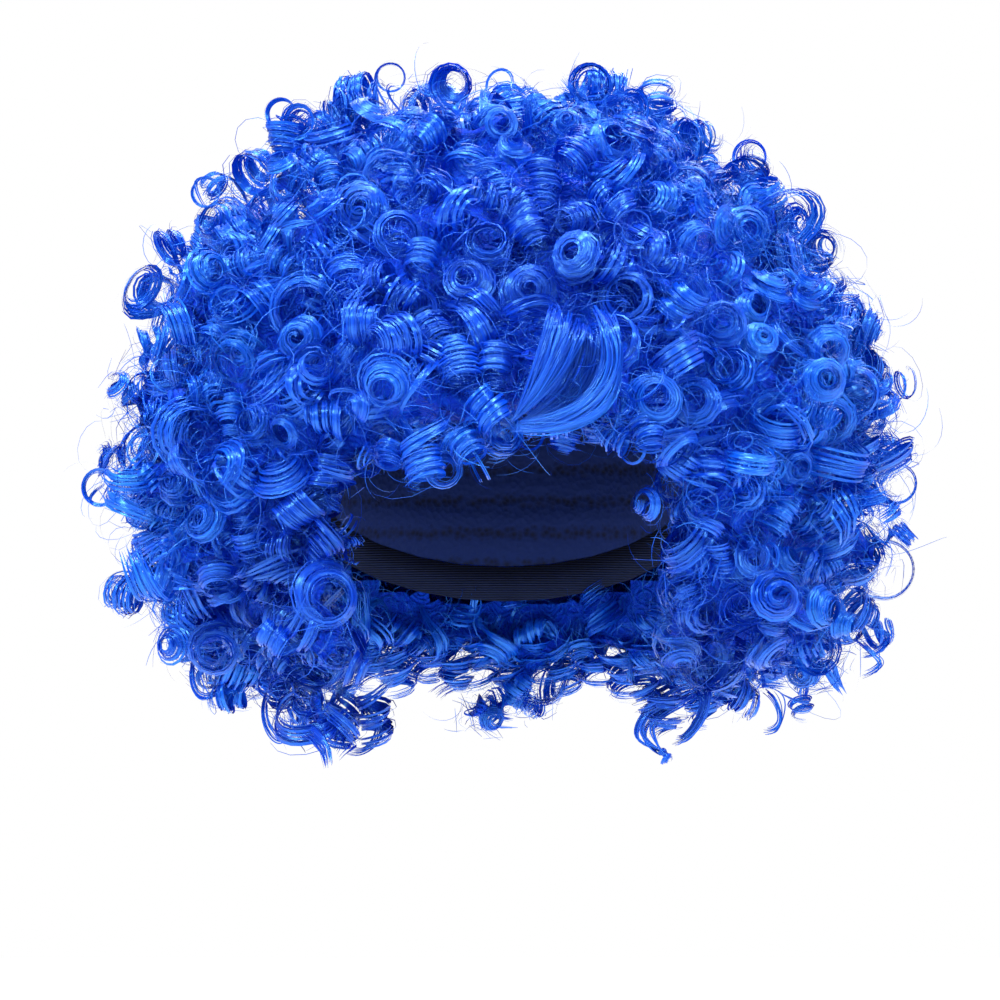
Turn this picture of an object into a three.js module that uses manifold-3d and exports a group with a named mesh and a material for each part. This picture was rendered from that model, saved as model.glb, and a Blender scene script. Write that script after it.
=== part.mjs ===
// A curly party wig, worn: a stretch cap with an elastic edge band, and rows of curls sewn round it.
// Millimetres, +Z up. The origin is where the top of the head touches the cap, and the face looks along -Y.
import * as THREE from "three";
import { mergeVertices } from "three/addons/utils/BufferGeometryUtils.js";
import Module from "manifold-3d";

const wasm = await Module();
wasm.setup();

// Clearance between pieces that touch, the size under which a cut's slivers are merged, and the distance
// within which the vertices of one mesh are the same
const gap = 0.3;
const sliver = 0.02;
const weld = 1e-4;

// The head that the wig is made for, and how the hollow draws in below it
const headHalfWidth = 77;
const headHalfDepth = 96;
const domeDrop = 112;
const domeRoundness = 2.25;
const jawDrop = 120;
const neckDrop = 196;
const neckHalfWidth = 69;
const neckHalfDepth = 85;
const neckSetBack = 4;
const hollowBelowHair = 25;

// The cap, and the thicker band along its edge
const capWall = 1.4;
const bandThickness = 2;
const bandHeight = 14;
const capDropFront = 70;
const capDropBack = 146;

// The outer form of the hair, measured to the tips of the curls
const hairHalfWidth = 156;
const hairFront = 147;
const hairBack = 160;
const hairAboveHead = 64;
const hairBelowHead = 210;
const widestDrop = 92;
const upperSquareness = 2.2;
const lowerSquareness = 3;

// The opening for the face. The fringe hangs lower on the left, as it is seen from the front.
const faceHalfWidth = 57;
const fringeDropLeft = 87;
const fringeDropRight = 75;
const fringeArch = 16;
const fringeHalfWidth = 66;
const fringeTop = 18;
const fringeBottom = 112;

// One curl: a tapering lock that rises from the mass and rolls over
const curlCount = 108;
const curlReach = 24;
const curlRoll = 12.5;
const curlRootRadius = 13.5;
const curlTipRadius = 9.5;
const curlStem = 2;
const curlRoot = 9;
const curlTurn = THREE.MathUtils.degToRad(190);
const curlDrift = 9;
const curlVariation = 0.16;
const curlSides = 4;
const curlSteps = 5;
const curlFaceMargin = 6;
const curlSizeStep = 2.4;
const curlSpinStep = 1.9;

// The curls that hang along the lower edge of the fringe
const fringeCurlCount = 5;
const fringeCurlSpread = 0.8;
const fringeCurlLift = 16;

// The uneven surface of the mass, as bunches of hair leave it
const bunchDepth = 5;
const bunchCount = 7;

// How finely the round forms are faceted, and the drop over which the head's slope is taken
const headSegments = 26;
const capStations = 6;
const massSegments = 20;
const massStations = 10;
const rowSegments = 12;
const archSegments = 4;
const slopeStep = 0.5;

const up = new THREE.Vector3(0, 0, 1);
const goldenAngle = Math.PI * (3 - Math.sqrt(5));
const hairHeight = hairAboveHead + hairBelowHead;

// Where one row of curls ends and the next begins. rootDrop is how far down the cap, as a share of its
// back height, and tipDrop how far down the outside of the hair, as a share of the hair's height.
const rowEnds = [
  { above: "crown_curls", rootDrop: 0.16, tipDrop: 0.17 },
  { above: "upper_row_curls", rootDrop: 0.46, tipDrop: 0.45 },
  { above: "lower_row_curls", rootDrop: 0.74, tipDrop: 0.72 },
];
const lastRow = "nape_row_curls";
const fringe = "fringe_curls";

// A closed geometry as a manifold solid
function solidOf(geometry) {
  const bare = geometry.clone();
  bare.deleteAttribute("normal");
  bare.deleteAttribute("uv");
  const merged = mergeVertices(bare, weld);
  return new wasm.Manifold(
    new wasm.Mesh({
      numProp: 3,
      vertProperties: merged.attributes.position.array,
      triVerts: new Uint32Array(merged.index.array),
    }),
  );
}

// A manifold solid as a three.js geometry
function geometryOf(solid) {
  const mesh = solid.getMesh();
  const geometry = new THREE.BufferGeometry();
  geometry.setAttribute("position", new THREE.BufferAttribute(mesh.vertProperties, 3));
  geometry.setIndex(new THREE.BufferAttribute(mesh.triVerts, 1));
  geometry.computeVertexNormals();
  return geometry;
}

// A lathe turned in parameters, each of whose points goes where place(along, angle, offset) says.
// A profile point holds along and offset, and angle 0 is the front of the head.
function turned(profile, segments, place) {
  const points = profile.map(([along, offset]) => new THREE.Vector2(along, offset));
  const geometry = new THREE.LatheGeometry(points, segments);
  const position = geometry.attributes.position;
  for (let i = 0; i < position.count; i++) {
    const angle = Math.atan2(position.getX(i), position.getZ(i));
    const along = Math.hypot(position.getX(i), position.getZ(i));
    const p = place(along, angle, position.getY(i));
    position.setXYZ(i, p.x, p.y, p.z);
  }
  return solidOf(geometry);
}

// Half width, half depth and set-back of the head at a drop below its top
function headSection(drop) {
  const dome = Math.max(0, 1 - drop / domeDrop);
  const round = (1 - dome ** domeRoundness) ** (1 / domeRoundness);
  const neck = THREE.MathUtils.smoothstep(drop, jawDrop, neckDrop);
  return {
    width: THREE.MathUtils.lerp(headHalfWidth * round, neckHalfWidth, neck),
    depth: THREE.MathUtils.lerp(headHalfDepth * round, neckHalfDepth, neck),
    back: neckSetBack * neck,
  };
}

// The head's surface at a drop, pushed out by an offset along the slope of the head
function headPoint(drop, angle, offset) {
  const here = headSection(drop);
  const above = headSection(Math.max(0, drop - slopeStep));
  const below = headSection(drop + slopeStep);
  const fall = drop < slopeStep ? 0 : 2 * slopeStep;
  const slope = new THREE.Vector2(fall, below.width - above.width).normalize();
  return new THREE.Vector3(
    (here.width + offset * slope.x) * Math.sin(angle),
    here.back - (here.depth + offset * slope.x) * Math.cos(angle),
    -drop + offset * slope.y,
  );
}

// How far down the cap's edge lies, at an angle from the front
function capEdgeDrop(angle) {
  const towardsBack = (1 - Math.cos(angle)) / 2;
  return THREE.MathUtils.lerp(capDropFront, capDropBack, towardsBack);
}

// Even steps from a to b, both included
function steps(a, b, count) {
  return Array.from({ length: count + 1 }, (_, i) => a + ((b - a) * i) / count);
}

// Where the cap ends, a gap above the band
function capFootDrop(angle) {
  return capEdgeDrop(angle) - bandHeight - gap;
}

// A layer round the head between two drops, each given by the angle. It is turned from start on, so that
// a layer open at the top is turned clear of the axis.
function headLayer(thickness, topDrop, footDrop, stations, start) {
  const shares = steps(start, start + 1, stations);
  const outside = shares.map((share) => [share, thickness]);
  const inside = shares.map((share) => [share, 0]).reverse();
  const closing = start > 0 ? [outside[0]] : [];
  return turned([...outside, ...inside, ...closing].reverse(), headSegments, (along, angle, offset) =>
    headPoint(THREE.MathUtils.lerp(topDrop(angle), footDrop(angle), along - start), angle, offset),
  );
}

// The stretch cap, down to the top of its band
function cap() {
  return headLayer(capWall, () => 0, capFootDrop, capStations, 0);
}

// The elastic band along the edge
function edgeBand() {
  return headLayer(bandThickness, (angle) => capEdgeDrop(angle) - bandHeight, capEdgeDrop, 1, 1);
}

// The room that the cap, the band and then the neck take in the hair, faceted as the cap is. Only the
// middle of its floor, where the profile ends, has no offset from the head.
function headRoom() {
  const drops = [() => 0, capFootDrop, capEdgeDrop, () => neckDrop, () => hairBelowHead + hollowBelowHair];
  const round = steps(0, 1, capStations).map((along) => [along, capWall + gap]);
  const below = steps(1, drops.length - 1, drops.length - 2).map((along) => [along, bandThickness + gap]);
  const floor = -hairBelowHead - hollowBelowHair;
  return turned([[0, 0], ...[...round, ...below].reverse()], headSegments, (along, angle, offset) => {
    if (offset === 0) return new THREE.Vector3(0, neckSetBack, floor);
    const part = Math.min(Math.floor(along), drops.length - 2);
    const drop = THREE.MathUtils.lerp(drops[part](angle), drops[part + 1](angle), along - part);
    return headPoint(drop, angle, offset);
  });
}

// The height and squareness of the hair above or below where it is widest
function hairHalf(upper) {
  return upper
    ? { height: hairAboveHead + widestDrop, squareness: upperSquareness }
    : { height: hairBelowHead - widestDrop, squareness: lowerSquareness };
}

// The hair's outer surface in a direction from its middle, drawn in by an inset
function hairPoint(direction, inset) {
  const depth = direction.y < 0 ? hairFront : hairBack;
  const { height, squareness } = hairHalf(direction.z > 0);
  const flat = Math.hypot(direction.x / (hairHalfWidth - inset), direction.y / (depth - inset));
  const tall = Math.abs(direction.z) / (height - inset);
  const radius = (flat ** squareness + tall ** squareness) ** (-1 / squareness);
  return direction.clone().multiplyScalar(radius).setZ(direction.z * radius - widestDrop);
}

// The mass that the curls rise from
function hairMass() {
  const geometry = new THREE.SphereGeometry(1, massSegments, massStations);
  geometry.rotateX(Math.PI / 2);
  const position = geometry.attributes.position;
  for (let i = 0; i < position.count; i++) {
    const direction = new THREE.Vector3().fromBufferAttribute(position, i).normalize();
    const waves = direction.toArray().map((along, axis) => Math.sin(bunchCount * along + axis));
    const bunch = bunchDepth * waves.reduce((product, wave) => product * wave);
    const p = hairPoint(direction, curlReach + bunch);
    position.setXYZ(i, p.x, p.y, p.z);
  }
  return solidOf(geometry);
}

// How far down the edge of the fringe lies, at a place across it
function fringeDrop(x) {
  return THREE.MathUtils.mapLinear(x, -faceHalfWidth, faceHalfWidth, fringeDropLeft, fringeDropRight);
}

// Everything in front of the face, below the arch of the fringe
function faceRoom() {
  const outline = new THREE.Shape();
  const floor = -hairBelowHead - hollowBelowHair;
  outline.moveTo(-faceHalfWidth, floor);
  outline.lineTo(faceHalfWidth, floor);
  outline.lineTo(faceHalfWidth, -fringeDropRight - fringeArch);
  outline.quadraticCurveTo(faceHalfWidth, -fringeDropRight, 0, -fringeDrop(0));
  outline.quadraticCurveTo(-faceHalfWidth, -fringeDropLeft, -faceHalfWidth, -fringeDropLeft - fringeArch);
  const extrusion = {
    depth: hairFront + hollowBelowHair,
    bevelEnabled: false,
    curveSegments: archSegments,
  };
  const geometry = new THREE.ExtrudeGeometry(outline, extrusion);
  geometry.rotateX(Math.PI / 2);
  return solidOf(geometry);
}

// The geometry of one curl, standing on the XY plane and rolling over towards +X
function curl() {
  const length = curlRoot + curlStem + curlRoll * curlTurn;
  const side = steps(0, 1, curlSteps).map(
    (along) => new THREE.Vector2(THREE.MathUtils.lerp(curlRootRadius, curlTipRadius, along), along),
  );
  const profile = [new THREE.Vector2(0, 0), ...side, new THREE.Vector2(0, 1)];
  const geometry = new THREE.LatheGeometry(profile, curlSides);
  const position = geometry.attributes.position;
  for (let i = 0; i < position.count; i++) {
    const along = position.getY(i) * length - curlRoot;
    const turn = Math.max(0, along - curlStem) / curlRoll;
    const out = curlRoll - position.getX(i);
    position.setXYZ(
      i,
      curlRoll - out * Math.cos(turn),
      -position.getZ(i) + curlDrift * (turn / curlTurn),
      Math.min(along, curlStem) + out * Math.sin(turn),
    );
  }
  return geometry;
}

const unitCurl = curl();

// True where a curl would stand in the face, or under the neck
function isBare(root) {
  const inFace =
    root.y < 0 &&
    Math.abs(root.x) < faceHalfWidth + curlFaceMargin &&
    root.z < -fringeDrop(root.x) + curlFaceMargin;
  const neck = headSection(-root.z);
  const clear = 1 + curlReach / neck.width;
  const underNeck = Math.hypot(root.x / neck.width, (root.y - neck.back) / neck.depth) < clear;
  return inFace || (root.z < -neckDrop + curlReach && underNeck);
}

// One curl at a direction from the hair's middle; its number sets its size and which way it rolls
function curlAt(direction, number) {
  const root = hairPoint(direction, curlReach);
  const outwards = hairPoint(direction, 0).sub(root).normalize();
  const turn = new THREE.Quaternion().setFromUnitVectors(up, outwards);
  turn.multiply(new THREE.Quaternion().setFromAxisAngle(up, number * curlSpinStep));
  const size = 1 + curlVariation * Math.sin(number * curlSizeStep);
  const matrix = new THREE.Matrix4().compose(root, turn, new THREE.Vector3(size, size, size));
  return solidOf(unitCurl.clone().applyMatrix4(matrix));
}

// Curls spread evenly over the mass, each rolling its own way
function spreadCurls() {
  const made = [];
  for (let i = 0; i < curlCount; i++) {
    const height = 1 - (2 * i + 1) / curlCount;
    const around = i * goldenAngle;
    const side = Math.sqrt(1 - height * height);
    const direction = new THREE.Vector3(side * Math.cos(around), side * Math.sin(around), height);
    if (!isBare(hairPoint(direction, curlReach))) made.push(curlAt(direction, i));
  }
  return made;
}

// Curls in a line across the fringe
function fringeCurls() {
  const half = fringeCurlSpread * fringeHalfWidth;
  return steps(-half, half, fringeCurlCount - 1).map((x, i) => {
    const height = widestDrop - fringeDrop(x) + fringeCurlLift;
    return curlAt(new THREE.Vector3(x, -hairFront, height).normalize(), i);
  });
}

// Everything above the cone that runs from the cap, past a row's roots, to its tips and beyond, lowered
// by a clearance
function aboveRow(end, clearance) {
  const rootDrop = end.rootDrop * capDropBack;
  const root = new THREE.Vector2(headSection(rootDrop).width, -rootDrop - clearance);
  const tipHeight = hairAboveHead - end.tipDrop * hairHeight;
  const { height, squareness } = hairHalf(tipHeight > -widestDrop);
  const share = Math.abs(tipHeight + widestDrop) / height;
  const tipReach = hairHalfWidth * (1 - share ** squareness) ** (1 / squareness);
  const tip = new THREE.Vector2(tipReach, tipHeight - clearance);
  const rise = (tip.y - root.y) / (tip.x - root.x);
  const far = hairHalfWidth + hairBack;
  const top = hairAboveHead + far * Math.max(1, rise);
  const profile = [
    [0, root.y - rise * root.x],
    [far, root.y + rise * (far - root.x)],
    [far, top],
    [0, top],
  ];
  const depthRatio = (hairFront + hairBack) / (2 * hairHalfWidth);
  return turned(profile, rowSegments, (radius, angle, level) =>
    new THREE.Vector3(radius * Math.sin(angle), -radius * depthRatio * Math.cos(angle), level),
  );
}

// The front of the hair over the forehead, where the fringe is, grown by a reach on every side
function fringeRoom(reach) {
  const width = 2 * (fringeHalfWidth + reach);
  const height = fringeBottom - fringeTop + 2 * reach;
  const geometry = new THREE.BoxGeometry(width, 2 * (hairFront + reach), height);
  geometry.translate(0, -hairFront, -(fringeBottom + fringeTop) / 2);
  return solidOf(geometry);
}

// The largest body of a solid, without slivers that a cut leaves loose
function mainBody(solid) {
  return solid.simplify(sliver).decompose().reduce((a, b) => (a.volume() > b.volume() ? a : b));
}

// The hair cut into its rows and fringe, each clear of the next by the gap
function hairRows() {
  const mass = hairMass().subtract(faceRoom());
  let rest = wasm.Manifold.union([mass, ...spreadCurls(), ...fringeCurls()]).subtract(headRoom());
  const rows = new Map();
  rows.set(fringe, rest.intersect(fringeRoom(0)));
  rest = rest.subtract(fringeRoom(gap));
  for (const end of rowEnds) {
    rows.set(end.above, rest.intersect(aboveRow(end, 0)));
    rest = rest.subtract(aboveRow(end, gap));
  }
  rows.set(lastRow, rest);
  return rows;
}

// Finishes
const hairFinish = new THREE.MeshStandardMaterial({ color: 0x0a46c8, roughness: 0.38, metalness: 0 });
const capFinish = new THREE.MeshStandardMaterial({ color: 0x0b2a78, roughness: 0.9, metalness: 0 });
const bandFinish = new THREE.MeshStandardMaterial({ color: 0x10131c, roughness: 0.85, metalness: 0 });

const wig = new THREE.Group();

function addPiece(name, solid, material) {
  const mesh = new THREE.Mesh(geometryOf(mainBody(solid)), material);
  mesh.name = name;
  wig.add(mesh);
}

addPiece("wig_cap", cap(), capFinish);
addPiece("edge_band", edgeBand(), bandFinish);
for (const [name, solid] of hairRows()) addPiece(name, solid, hairFinish);

export default wig;
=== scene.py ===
"""The looks of a bushy blue party wig: ringlets of shiny fibre on a stretch cap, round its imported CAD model.

Every length is in metres. The origin is inside the top of the cap, +Z is up and the front of the wig
looks along -Y. The hair is ribbons of fibre: each is a strip of quads that follows a path.
"""

import math

import bmesh
import bpy
import numpy as np
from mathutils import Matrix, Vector
from mathutils.bvhtree import BVHTree


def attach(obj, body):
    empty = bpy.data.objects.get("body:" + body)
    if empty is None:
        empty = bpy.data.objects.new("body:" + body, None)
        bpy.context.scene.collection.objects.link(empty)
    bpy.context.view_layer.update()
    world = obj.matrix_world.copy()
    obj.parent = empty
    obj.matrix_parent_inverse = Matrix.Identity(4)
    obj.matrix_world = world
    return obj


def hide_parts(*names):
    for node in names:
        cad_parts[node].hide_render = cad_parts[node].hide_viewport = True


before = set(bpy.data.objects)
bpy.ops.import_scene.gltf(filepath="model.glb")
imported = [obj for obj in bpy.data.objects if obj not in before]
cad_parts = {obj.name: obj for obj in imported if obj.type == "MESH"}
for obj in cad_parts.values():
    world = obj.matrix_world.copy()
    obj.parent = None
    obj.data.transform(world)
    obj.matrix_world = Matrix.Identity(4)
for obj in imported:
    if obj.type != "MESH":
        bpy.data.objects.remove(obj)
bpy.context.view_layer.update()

MM = 0.001
TAU = 2 * math.pi
RNG = np.random.default_rng(20)

HAIR_NODES = ["crown_curls", "upper_row_curls", "lower_row_curls", "nape_row_curls", "fringe_curls"]
CLOTH_NODES = ["wig_cap", "edge_band"]

# The photograph's frame: what a pixel spans at the hair's outline, and the column and row of the origin
PHOTO_PIXELS = 1000
PIXEL = 0.39 * MM
ORIGIN_COLUMN = 505
ORIGIN_ROW = 233
CAMERA_DISTANCE = 1.5
SENSOR = 36.0
FLOOR_REACH = 1.4
FLOOR_LEVEL = -0.45

# Plain soft studio light: two lights in front, one above and one behind, in metres and watts
LIGHTS = [
    dict(name="key_left", place=(-1.15, -1.05, 0.9), size=0.3, watts=26),
    dict(name="key_right", place=(1.25, -1.05, 0.7), size=0.3, watts=17),
    dict(name="top", place=(0.0, -0.3, 1.5), size=0.5, watts=34),
    dict(name="back", place=(0.3, 1.3, 0.9), size=0.8, watts=20),
]
LIGHT_AIM = (0, 0, -0.09)
SURROUND_LIGHT = 0.65

# The smooth skin that hair grows on, and how far under it the matted hair lies
SKIN_VOXEL = 5 * MM
SKIN_SMOOTHING = 14
MAT_INSET = 9 * MM
WELD = 0.02 * MM

# How close the ringlets grow, and how far they draw in where they face inward or down. A place faces
# inward or down where its direction's share along that way is beyond the turn.
RINGLET_SPACING = 15.5 * MM
UNDERGROWTH_SPACING = 18.0 * MM
RINGLET_TRIES = 9000
INWARD_LIFT = -9 * MM
INWARD_TURN = -0.25
UNDER_LIFT = -5 * MM
UNDER_TURN = -0.7
CLEARANCE = 0.8 * RINGLET_SPACING

# Hollows in the outline, as the photograph shows them: pixel, reach, depth and y in mm. The effect of a hollow
# or a place of painted shade is full well within its reach, and fades out at REACH_END times the reach.
REACH_END = 1.4
HOLLOWS = [
    dict(at=(802, 190), reach=34, depth=17),
    dict(at=(108, 385), reach=20, depth=7),
    dict(at=(140, 650), reach=30, depth=14),
    dict(at=(360, 540), reach=34, depth=9, y=-70),
    dict(at=(642, 590), reach=28, depth=6, y=-70),
]

# Places where painted shade darkens the hair, as the photograph shows them: the shadow of the head and neck
# beside the face and the shade over the middle of the front. Pixel, reach and y in mm, and how much
PAINTED_SHADE_PLACES = [
    dict(at=(352, 625), reach=50, y=-60, by=2.4),
    dict(at=(662, 625), reach=44, y=-60, by=1.8),
    dict(at=(350, 470), reach=36, y=-80, by=1.2),
    dict(at=(470, 285), reach=58, y=-110, by=1.0),
    dict(at=(600, 270), reach=44, y=-110, by=0.8),
    dict(at=(625, 440), reach=36, y=-90, by=1.0),
]

# The kinds of ringlet. Lengths are in mm and angles in radians. Bundle is the width of the band of
# fibre, tilt turns it out of the coil's axis, and lean is the angle from the skin's normal to the axis.
RINGLET_KINDS = [
    dict(share=0.40, radius=(4.5, 8.5), turns=(1.9, 2.9), length=(11, 21), narrowing=(0.0, 0.45),
         bundle=(4.5, 7.5), tilt=(-0.5, 0.3), lean=(0.9, 1.7), lift=(-1, 7), rings=28),
    dict(share=0.38, radius=(5.5, 10.5), turns=(1.5, 2.3), length=(3, 9), narrowing=(0.2, 0.7),
         bundle=(3.0, 5.5), tilt=(-1.2, -0.4), lean=(0.0, 0.7), lift=(2, 9), rings=24),
    dict(share=0.22, radius=(9.0, 15.0), turns=(0.8, 1.6), length=(8, 18), narrowing=(0.1, 0.5),
         bundle=(5.0, 10.0), tilt=(-0.7, 0.1), lean=(0.7, 1.5), lift=(-3, 5), rings=21),
]
UNDERGROWTH = dict(radius=(5.0, 11.0), turns=(0.9, 1.7), length=(6, 20), narrowing=(0.1, 0.6),
                   bundle=(6.0, 11.0), tilt=(-0.8, 0.4), lean=(0.2, 1.6), lift=(-9, -3), rings=18)
PLACED_RINGS = 30
PLACED_NARROWING = 0.2
PLACED_TILT = -0.6

# How a ringlet runs from its root at 0 to its tip at 1: its root dives under the skin, its radius swells
# and its axis bows, its ribbons gather at both ends, and its tip flares out and thins
ROOT = 0.14
ROOT_DIVE = 9 * MM
SWELL = 0.1
SWELL_WAVES = 0.8
BOW = 0.2
ROOT_GATHER = 0.5
TIP_GATHER = 0.4
FLARE_FROM = 0.8
FLARE = 0.8 * MM
ROOT_TAPER = 0.06
TIP_TAPER = 0.25
ROLL = 0.35
FULL_BUNDLE = 6 * MM
RINGLET_SHADE = 0.6

# The ribbons of one ringlet: how many, how wide, how far they stray, how deep they lie in the coil, and
# the share of the ringlet's rings that each has
RIBBONS = [
    dict(count=12, width=(0.6, 1.3), stray=0.4, depth=(-0.3, 1.6), detail=1.0),
    dict(count=6, width=(0.18, 0.36), stray=1.5, depth=(-1.4, 2.6), detail=0.75),
]
UNDERGROWTH_RIBBONS = [dict(count=9, width=(0.6, 1.4), stray=1.2, depth=(-1.0, 4.0), detail=1.0)]
THIN_RIBBONS = [
    dict(count=6, width=(0.7, 1.4), stray=0.3, depth=(-0.2, 0.6), detail=1.2),
    dict(count=3, width=(0.14, 0.24), stray=0.9, depth=(-0.8, 1.0), detail=1.0),
]

# Ringlets that stand out in the photograph: the pixel of the middle, how far it stands off the skin,
# the axis as x, y and z, and the form as above
SPECIAL_RINGLETS = [
    dict(name="fringe_end", at=(432, 461), behind=(432, 425), stand=2, axis=(0.2, -0.3, -1), radius=8.5,
         turns=2.6, length=13, narrowing=0.2, bundle=6, tilt=0.1),
    dict(name="fringe_end_left", at=(402, 458), behind=(402, 425), stand=0, axis=(-0.3, -0.6, -1), radius=7,
         turns=2.2, length=10, narrowing=0.3, bundle=5, tilt=0.1),
    dict(name="fringe_end_right", at=(470, 452), behind=(470, 420), stand=1, axis=(0.5, -0.6, -0.8),
         radius=7, turns=2.4, length=9, narrowing=0.3, bundle=5, tilt=-0.3),
    dict(name="fringe_low", at=(450, 474), behind=(450, 425), stand=-3, axis=(0.2, -1, -0.2), radius=6,
         turns=1.8, length=4, narrowing=0.2, bundle=3, tilt=-0.7),
    dict(name="brow_right", at=(632, 440), behind=(632, 410), stand=1, axis=(0.1, -0.5, -1), radius=7,
         turns=2.4, length=10, narrowing=0.3, bundle=5, tilt=0.0),
    dict(name="cheek_ring", at=(338, 590), stand=3, axis=(0.3, -1, 0.1), radius=12, turns=1.6, length=3,
         narrowing=0.25, bundle=4, tilt=-0.8),
    dict(name="fringe_rose", at=(619, 323), stand=4, axis=(-0.2, -1, 0.2), radius=11.5, turns=1.9, length=6,
         narrowing=0.3, bundle=5, tilt=-0.8),
    dict(name="temple_rose", at=(633, 410), stand=4, axis=(0.1, -1, 0.2), radius=8.5, turns=1.9, length=5,
         narrowing=0.2, bundle=3.5, tilt=-0.8),
    dict(name="front_rose_a", at=(412, 255), stand=4, axis=(0.1, -1, 0.2), radius=9, turns=2.2, length=5,
         narrowing=0.35, bundle=4, tilt=-0.8),
    dict(name="front_rose_b", at=(365, 228), stand=4, axis=(-0.2, -1, 0.2), radius=10, turns=2.4, length=6,
         narrowing=0.5, bundle=5, tilt=-0.9),
    dict(name="fringe_drop", at=(400, 395), stand=3, axis=(-0.2, -0.9, -0.4), radius=9, turns=2.2, length=8,
         narrowing=0.4, bundle=6, tilt=-0.7),
    dict(name="crown_hoop", at=(396, 200), stand=4, axis=(0.1, -1, 0.1), radius=10.5, turns=1.3, length=4,
         narrowing=0.1, bundle=3, tilt=-0.6),
    dict(name="front_barrel", at=(527, 256), stand=4, axis=(0.55, -0.4, -0.75), radius=7.5, turns=3.0,
         length=17, narrowing=0.2, bundle=6, tilt=0.0),
    dict(name="front_corkscrew", at=(540, 205), stand=4, axis=(0.1, -0.3, -1), radius=6, turns=3.4,
         length=22, narrowing=0.1, bundle=5, tilt=0.0),
    dict(name="front_rose_c", at=(527, 308), stand=4, axis=(0.1, -1, 0.1), radius=9, turns=2.3, length=5,
         narrowing=0.5, bundle=5, tilt=-0.9),
    dict(name="front_hoop", at=(416, 322), stand=4, axis=(0.1, -1, 0.3), radius=8.5, turns=1.4, length=5,
         narrowing=0.1, bundle=3, tilt=-0.6),
    dict(name="front_barrel_b", at=(434, 350), stand=4, axis=(0.5, -0.6, -0.6), radius=9, turns=2.6,
         length=14, narrowing=0.3, bundle=6, tilt=0.0),
    dict(name="front_barrel_c", at=(375, 336), stand=3, axis=(1, -0.3, 0.1), radius=8, turns=2.6, length=14,
         narrowing=0.2, bundle=6, tilt=0.0),
    dict(name="front_barrel_d", at=(458, 378), stand=3, axis=(0.1, -0.5, -1), radius=8.5, turns=2.6,
         length=15, narrowing=0.2, bundle=6, tilt=0.0),
    dict(name="front_barrel_e", at=(497, 376), stand=1, axis=(-0.2, -0.4, -1), radius=7, turns=2.4,
         length=16, narrowing=0.3, bundle=6, tilt=0.0),
    dict(name="front_rose_d", at=(317, 355), stand=4, axis=(-0.2, -1, 0.1), radius=8.5, turns=2.4, length=5,
         narrowing=0.6, bundle=4, tilt=-0.9),
    dict(name="right_rose_a", at=(733, 246), stand=4, axis=(0.3, -1, 0.1), radius=9, turns=2.4, length=6,
         narrowing=0.4, bundle=5, tilt=-0.9),
    dict(name="right_rose_b", at=(703, 335), stand=4, axis=(0.1, -1, 0.3), radius=9, turns=2.2, length=5,
         narrowing=0.5, bundle=4, tilt=-0.9),
    dict(name="right_rose_c", at=(675, 410), stand=4, axis=(-0.1, -1, 0.2), radius=9.5, turns=2.4, length=6,
         narrowing=0.5, bundle=5, tilt=-0.9),
    dict(name="right_rose_d", at=(797, 388), stand=4, axis=(0.2, -1, 0), radius=8.5, turns=2.3, length=5,
         narrowing=0.5, bundle=4, tilt=-0.9),
]

# Thin ringlets that stand off the hair's outline, in the plane of the outline
OUTLINE_RINGLETS = [
    dict(name="crown_ring", at=(391, 78), axis=(0, 1, 0.2), radius=6.5, turns=1.6, length=3, bundle=1),
    dict(name="crown_hook", at=(283, 112), axis=(0.1, 1, 0), radius=6.5, turns=0.9, length=2, bundle=2),
    dict(name="left_ring_high", at=(206, 192), axis=(0.2, 1, 0),
         radius=6.5, turns=1.3, length=3, bundle=1.5),
    dict(name="left_ring", at=(100, 488), axis=(0.2, 1, 0), radius=7.5, turns=1.6, length=3, bundle=2),
    dict(name="left_leaf", at=(112, 462), axis=(0.4, 1, 0.2), radius=5, turns=1.3, length=3, bundle=1.5),
    dict(name="left_ring_low", at=(124, 590), axis=(0, 1, 0.2), radius=7.5, turns=1.7, length=3, bundle=1),
    dict(name="right_ring_high", at=(750, 158), axis=(0.3, 1, 0), radius=6.5, turns=1.4, length=4, bundle=2),
    dict(name="right_ring_mid", at=(848, 312), axis=(0.3, 1, 0.2), radius=7, turns=1.7, length=5, bundle=2),
    dict(name="right_coil", at=(897, 385), axis=(1, 0.4, 0.2), radius=6, turns=2.6, length=13, bundle=2),
    dict(name="right_ring", at=(896, 482), axis=(0.2, 1, 0), radius=8, turns=1.5, length=4, bundle=2),
    dict(name="right_hoop", at=(886, 568), axis=(0.2, 1, 0), radius=13, turns=1.2, length=4, bundle=2),
    dict(name="right_coil_low", at=(880, 632), axis=(1, 0.3, 0.2),
         radius=5.5, turns=2.6, length=12, bundle=2),
    dict(name="right_drop", at=(801, 706), axis=(0.2, 0.4, -1), radius=4.5, turns=2.2, length=8, bundle=2),
    dict(name="right_knob", at=(659, 748), y=-58, axis=(1, -0.4, -0.4), radius=2.4, turns=1.6, length=4,
         bundle=2),
]

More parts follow.
